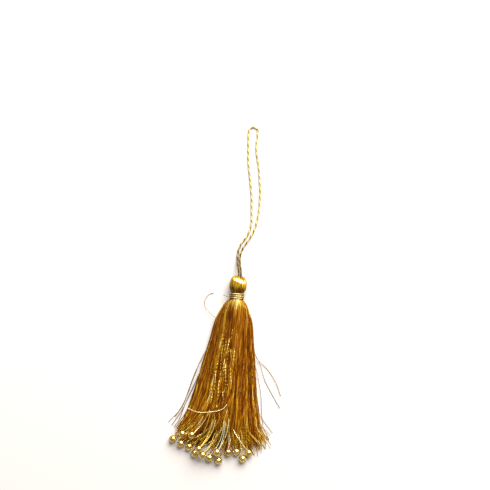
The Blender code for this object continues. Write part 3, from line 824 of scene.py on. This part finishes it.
def shown(number, apart, leaves, down):
    """How much of a beaded thread lies on the silk, from 0 inside it to 1 on top, at a distance down."""
    comes_out = (49.5 if leaves > -3.0 else 46.0) + 4.0 * math.sin(5.1 * number + 7 * apart)
    on_top = float(ease((down - comes_out) / 7.0))
    if number in GLINT_THREADS:
        start, stop = 16 + 8 * math.sin(2.3 * number + 4 * apart), 36 + 8 * math.sin(3.7 * number + 5 * apart)
        glint = float(ease((down - start) / 5) * (1 - ease((down - stop) / 5)))
        on_top = max(on_top, glint * (0.78 + 0.30 * math.sin(1.9 * number + 5 * apart + down / 1.7)))
    return on_top


def on_silk(across, down, lift, number, apart, leaves):
    """Height of a beaded thread: deep in the silk, or on it where it shows."""
    return float(silk_top(across, down)) - THREAD_DEPTH + lift * shown(number, apart, leaves, down)


def thread_route(bead, number, apart, begins):
    """Route of a beaded thread, in and out of the silk and then down into its bead."""
    x, y, z, lean, leaves = bead
    share = leaves / float(skirt_at(THREAD_LEAVES)[0])
    points = []
    for down in np.arange(begins, THREAD_LEAVES - 0.5, 2):
        window = float(ease((down - 4) / 20) * (1 - ease((down - 32) / 8)))
        wander = 0.6 * math.sin(1.7 * number + 3 * apart + down / 5.3) * window
        across = share * float(skirt_at(down)[0]) + wander + 0.6 * apart
        over = on_silk(across, down, THREAD_LIFT, number, apart, leaves)
        points.append((across, SKIRT_TOP_Y - down, over))
    leave = np.array((leaves, SKIRT_TOP_Y - THREAD_LEAVES))
    run = leave[1] - y
    start_slope = np.array((0.016 * leaves * run, -run))
    end_slope = np.array((-math.tan(math.radians(1.2 * lean)) * run, -run))
    for t in np.linspace(0, 1, 17):
        place = hermite(t, leave, start_slope, np.array((x, y)), end_slope)
        place[0] += apart * (0.6 + 0.9 * math.sin(math.pi * t)) * (1 - 0.8 * float(ease((t - 0.6) / 0.4)))
        over = on_silk(place[0], SKIRT_TOP_Y - place[1], BENT_LIFT, number, apart, leaves)
        points.append((*place, over + (z - over) * float(ease((t - 0.70) / 0.30))))
    heading = math.radians(lean)
    for beyond in (0.8, BEAD_RADIUS - 0.05):
        points.append((x - beyond * math.sin(heading), y - beyond * math.cos(heading), z))
    return smooth_route(points, THREAD_STEP)


def between_beads(number):
    """A thread that lies between those of two neighbouring beads and is lost under them."""
    low, high = BEADS[number], BEADS[number + 1]
    mix = rng.uniform(0.15, 0.85)
    x, y, lean, leaves = ((1 - mix) * low[i] + mix * high[i] for i in (0, 1, 3, 4))
    height = rng.uniform(1.0, 2.4)
    return x, y + rng.uniform(0.4, 2.6), height, lean + rng.uniform(-12, 22), leaves + rng.uniform(-1.6, 0.8)


def thread_tone(route, number, apart, bright):
    """Tone along a beaded thread: painted glints in dashes where it lies in the silk, paler lower down."""
    x, y = route[:, 0], route[:, 1]
    dash = np.sin(TAU * np.arange(len(route)) * THREAD_STEP / THREAD_DASH + number)
    # painted glints: the tone comes in dashes along the thread where it lies in the silk
    dashes = PAINTED_GLINT_TONE * dash * (y > FREE_Y)
    own = THREAD_TONE_RANGE * math.sin(3.3 * number + 9 * apart)
    tone = THREAD_TONE + 0.12 * ease((FREE_Y - y) / 12) + own
    # painted highlight on some threads near their beads
    tone = tone + THREAD_HIGHLIGHT * bright * ease((-18 - y) / 5) - 0.14 * ease((-x - 6) / 6)
    return tone + dashes


def threads_apart():
    """The two beaded threads that lie apart from the others, both bright."""
    crossing = [(x, y, float(dome_height(x, SKIRT_TOP_Y - y)) + CROSSING_LIFT) for x, y in CROSSING_THREAD]
    crossing[0] = (*CROSSING_THREAD[0], CROSSING_STARTS_Z)
    groups = []
    for points, ply, apart, pitch in ((crossing, 0.09, 0.07, 1.5), (SLANTING_THREAD, 0.12, 0.09, 2.1)):
        strands = plies(smooth_route(points, APART_STEP), 2, apart, pitch, UP)
        groups.append((strands, ply, 5, UP, APART_TONE))
    return groups


def make_beaded_threads(thread):
    """Two two-ply threads to each bead, those between them, and the two that lie apart."""
    groups = []
    between = [between_beads(number) for number in BETWEEN_THREADS]
    for number, bead in enumerate(BEADS + between):
        in_bead = number < len(BEADS)
        for apart in (-THREAD_PAIR, THREAD_PAIR) if in_bead else (0.0,):
            route = thread_route(bead, number, apart, THREAD_BEGINS if in_bead else BETWEEN_BEGINS)
            strands = plies(route, 2, THREAD_APART, THREAD_PITCH, UP, number)
            bright = number in HIGHLIT_THREADS if in_bead else rng.random() < HIGHLIT_BETWEEN
            groups.append((strands, THREAD_PLY, 3, UP, thread_tone(route, number, apart, bright)))
    piece = link_strands("beaded_threads", groups + threads_apart(), thread)
    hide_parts("head_and_skirt")


def make_wisps(material):
    """Stray threads that leave the skirt's side and lie on the floor in small waves."""
    groups = []
    for i, (radius, points) in enumerate(WISPS):
        lifted = []
        for k, (x, y) in enumerate(points):
            leaving = 1 - ease(k / (len(points) - 1) / 0.5)
            height = WISP_LEAVES_Z * leaving + WISP_WAVE * math.sin(2.1 * k + i) ** 2 + radius
            lifted.append((x, y, float(height)))
        route = smooth_route(lifted, WISP_STEP)
        groups.append((route[None], WISP_THIN * radius, 4, UP, 0.2 + 0.25 * (i % 3)))
    piece = link_strands("stray_threads", groups, material)
    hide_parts("head_and_skirt")


def bead_profile():
    """Half section of a bead as (distance from its hole's axis, along that axis), rolled at each mouth."""
    limit = math.acos((BEAD_HOLE + BEAD_EDGE) / BEAD_RADIUS)
    outside = [(BEAD_RADIUS * math.cos(a), BEAD_RADIUS * math.sin(a))
               for a in np.linspace(limit, -limit, BEAD_ARC)]
    mouth = BEAD_RADIUS * math.sin(limit)
    inside = [(BEAD_HOLE + 0.02, -mouth - 0.01), (BEAD_HOLE, -mouth + BEAD_EDGE),
              (BEAD_HOLE, mouth - BEAD_EDGE), (BEAD_HOLE + 0.02, mouth + 0.01)]
    return np.array(outside + inside)


def make_beads(metal):
    """Round beads turned about their holes, flat where they touch the floor."""
    profile = bead_profile()
    angle = TAU * np.arange(BEAD_STEPS) / BEAD_STEPS
    faces = [face[:1] + face[:0:-1] for face in ring_faces(BEAD_STEPS, len(profile), closed=True)]
    for number, (x, y, z, lean, _) in enumerate(BEADS, 1):
        heading = math.radians(lean)
        axis = np.array((math.sin(heading), math.cos(heading), 0.0))
        side = np.array((math.cos(heading), -math.sin(heading), 0.0))
        out = np.cos(angle)[:, None] * side + np.sin(angle)[:, None] * np.array(UP)
        points = np.array((x, y, z)) + profile[None, :, :1] * out[:, None] + profile[None, :, 1:] * axis
        points[..., 2] = np.maximum(points[..., 2], 0.0)
        piece = link_mesh(f"gold_bead_{number:02d}", points.reshape(-1, 3), faces, metal)
        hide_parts(f"bead_{number:02d}")


# Set

def make_camera():
    """The photograph's view, straight down."""
    width = PHOTO_PX / PX_PER_MM * MM
    height = width * LENS / SENSOR
    data = bpy.data.cameras.new("photo_camera")
    data.lens, data.sensor_width = LENS, SENSOR
    data.clip_start, data.clip_end = 0.01, 10
    camera = bpy.data.objects.new("photo_camera", data)
    camera.location = (PHOTO_CENTRE[0] * MM, PHOTO_CENTRE[1] * MM, height)
    camera.rotation_euler = (0, 0, PHOTO_TILT)
    bpy.context.scene.collection.objects.link(camera)
    bpy.context.scene.camera = camera


def make_window():
    """One large soft light beyond the head, as from a window."""
    data = bpy.data.lights.new("window", "AREA")
    data.shape = "DISK"
    data.size, data.energy, data.color = WINDOW_SIZE, WINDOW_POWER, WINDOW_COLOUR
    light = bpy.data.objects.new("window", data)
    light.location = WINDOW_PLACE
    across, along, up = np.array(WINDOW_TARGET) - np.array(WINDOW_PLACE)
    light.rotation_euler = (math.atan2(math.hypot(across, along), -up), 0,
                            math.atan2(along, across) - math.pi / 2)
    bpy.context.scene.collection.objects.link(light)


def make_floor():
    mesh = bpy.data.meshes.new("floor")
    corners = [(-FLOOR_HALF, -FLOOR_HALF, 0), (FLOOR_HALF, -FLOOR_HALF, 0), (FLOOR_HALF, FLOOR_HALF, 0),
               (-FLOOR_HALF, FLOOR_HALF, 0)]
    mesh.from_pydata(corners, [], [(0, 1, 2, 3)])
    paper, _, _ = new_shader("white_paper", (0.62, 0.61, 0.60), 0.7)
    mesh.materials.append(paper)
    floor = bpy.data.objects.new("floor", mesh)
    bpy.context.scene.collection.objects.link(floor)


def make_room():
    """Warm light from all round, and plain colours."""
    world = bpy.data.worlds.new("studio")
    world.use_nodes = True
    background = world.node_tree.nodes["Background"]
    background.inputs["Color"].default_value = (*ROOM_COLOUR, 1)
    background.inputs["Strength"].default_value = ROOM_STRENGTH
    bpy.context.scene.world = world
    bpy.context.scene.view_settings.view_transform = "Standard"


def main():
    make_camera()
    make_loop(make_cord_yarn())
    make_core(make_shaded_core_silk())
    make_silk(make_amber_silk())
    make_head(make_head_silk())
    make_binding(make_binding_gilt())
    make_beaded_threads(make_pale_thread())
    make_wisps(make_stray_silk())
    make_beads(make_polished_gold())
    make_floor()
    make_window()
    make_room()


main()
